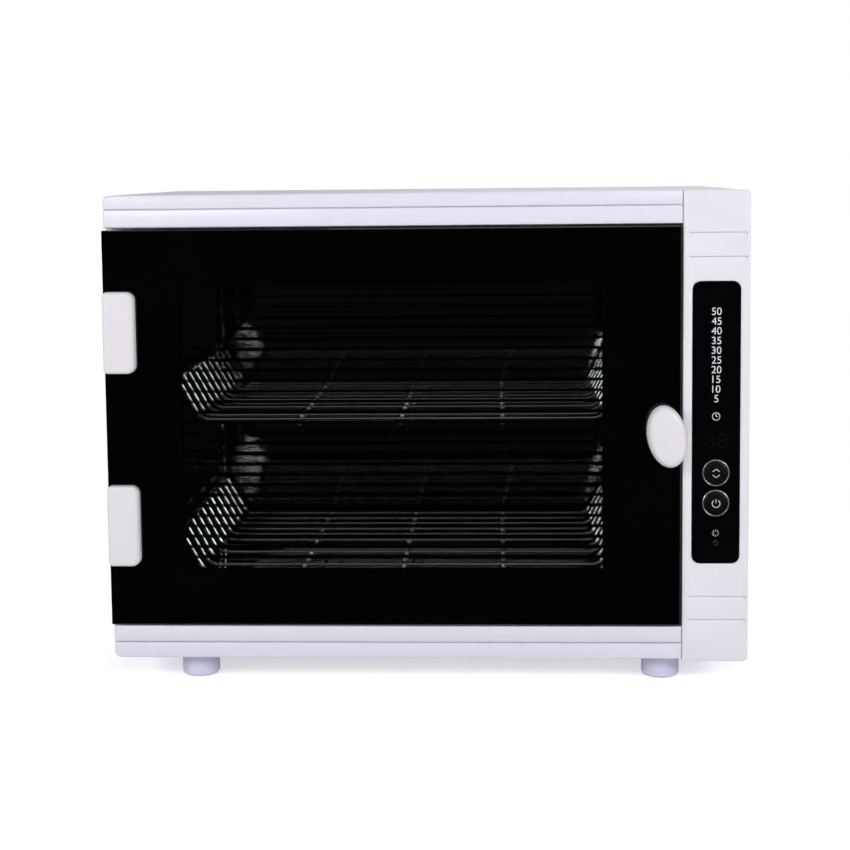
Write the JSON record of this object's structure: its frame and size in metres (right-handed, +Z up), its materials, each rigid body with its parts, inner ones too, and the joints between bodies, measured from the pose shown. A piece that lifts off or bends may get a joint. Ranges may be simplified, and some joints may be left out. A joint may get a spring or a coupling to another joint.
{
  "type": "uv sterilizer cabinet",
  "caption": "Tabletop ultraviolet sterilizer cabinet with a side-hinged dark glass door, polished chamber, wire baskets, tube lamps and a push-button panel.",
  "frame": {"origin": "below the middle of the cabinet's outer box, on the surface that the feet stand on", "axes": "+X to the right along the front, -Y out of the glass door, +Z up"},
  "size_m": [0.42, 0.2658, 0.3238],
  "materials": {
    "painted_case": "fine powder coat, satin",
    "white_plastic": "moulded, satin",
    "black_plastic": "moulded, matt",
    "label_film": "gloss film printed on its back",
    "polished_steel": "bright polished stainless sheet",
    "chromed_wire": "bright chromed wire",
    "zinc_steel": "zinc plated",
    "chrome": "polished",
    "door_glass": "tempered, black tint, polished edges",
    "seal_rubber": "matt",
    "foot_rubber": "satin",
    "quartz": "clear quartz tube with metal caps",
    "brass": "nickel plated",
    "circuit_board": "solder resist",
    "indicator": "clear red lens"
  },
  "bodies": {
    "cabinet": {"outer_shell": "painted_case", "back_panel": "painted_case", "base_plate": "painted_case", "front_frame": "painted_case", "chamber_liner": "polished_steel", "top_bezel": "white_plastic", "bottom_bezel": "white_plastic", "control_panel": "white_plastic", "panel_label": "label_film", "select_button_ring": "chrome", "power_button_ring": "chrome", "indicator_lens": "indicator", "time_display": "label_film", "control_board": "circuit_board", "hinge_bracket_upper": "zinc_steel", "hinge_bracket_lower": "zinc_steel", "hinge_pin_upper": "zinc_steel", "hinge_pin_lower": "zinc_steel", "magnet_catch": "black_plastic", "door_sensor": "black_plastic", "door_seal": "seal_rubber", "basket_rail_upper_left": "polished_steel", "basket_rail_upper_right": "polished_steel", "basket_rail_lower_left": "polished_steel", "basket_rail_lower_right": "polished_steel", "uv_tube_front": "quartz", "uv_tube_rear": "quartz", "lamp_holder_front_left": "white_plastic", "lamp_holder_front_right": "white_plastic", "lamp_holder_rear_left": "white_plastic", "lamp_holder_rear_right": "white_plastic", "lamp_ballast_front": "black_plastic", "lamp_ballast_rear": "black_plastic", "power_inlet": "black_plastic", "inlet_blade_line": "brass", "inlet_blade_neutral": "brass", "inlet_blade_earth": "brass", "foot_front_left": "foot_rubber", "foot_front_right": "foot_rubber", "foot_rear_left": "foot_rubber", "foot_rear_right": "foot_rubber", "foot_screw_front_left": "zinc_steel", "foot_screw_front_right": "zinc_steel", "foot_screw_rear_left": "zinc_steel", "foot_screw_rear_right": "zinc_steel", "back_screw_1": "zinc_steel", "back_screw_2": "zinc_steel", "back_screw_3": "zinc_steel", "back_screw_4": "zinc_steel"},
    "door": {"door_glass": "door_glass", "hinge_cover_upper": "white_plastic", "hinge_cover_lower": "white_plastic", "door_knob": "white_plastic", "knob_screw": "zinc_steel", "strike_plate": "zinc_steel"},
    "select_button": {"select_button": "black_plastic"},
    "power_button": {"power_button": "black_plastic"},
    "upper_basket": {"upper_basket": "chromed_wire"},
    "lower_basket": {"lower_basket": "chromed_wire"}
  },
  "joints": [
    {"name": "door_hinge", "type": "hinge", "parent": "cabinet", "child": "door", "pos_m": [-0.2068, -0.1099, 0.17005], "axis": [0, 0, -1], "range_deg": [0, 110]},
    {"name": "select_button_press", "type": "slide", "parent": "cabinet", "child": "select_button", "axis": [0, 1, 0], "range_m": [0, 0.0015], "stiffness_N_per_m": 300},
    {"name": "power_button_press", "type": "slide", "parent": "cabinet", "child": "power_button", "axis": [0, 1, 0], "range_m": [0, 0.0015], "stiffness_N_per_m": 300},
    {"name": "upper_basket_slide", "type": "slide", "parent": "cabinet", "child": "upper_basket", "axis": [0, -1, 0], "range_m": [0, 0.1152]},
    {"name": "lower_basket_slide", "type": "slide", "parent": "cabinet", "child": "lower_basket", "axis": [0, -1, 0], "range_m": [0, 0.1152]}
  ],
  "couplings": [
    {"joint": "upper_basket_slide", "follows": "door_hinge", "m_per_rad": 0.06},
    {"joint": "lower_basket_slide", "follows": "door_hinge", "m_per_rad": 0.06}
  ]
}
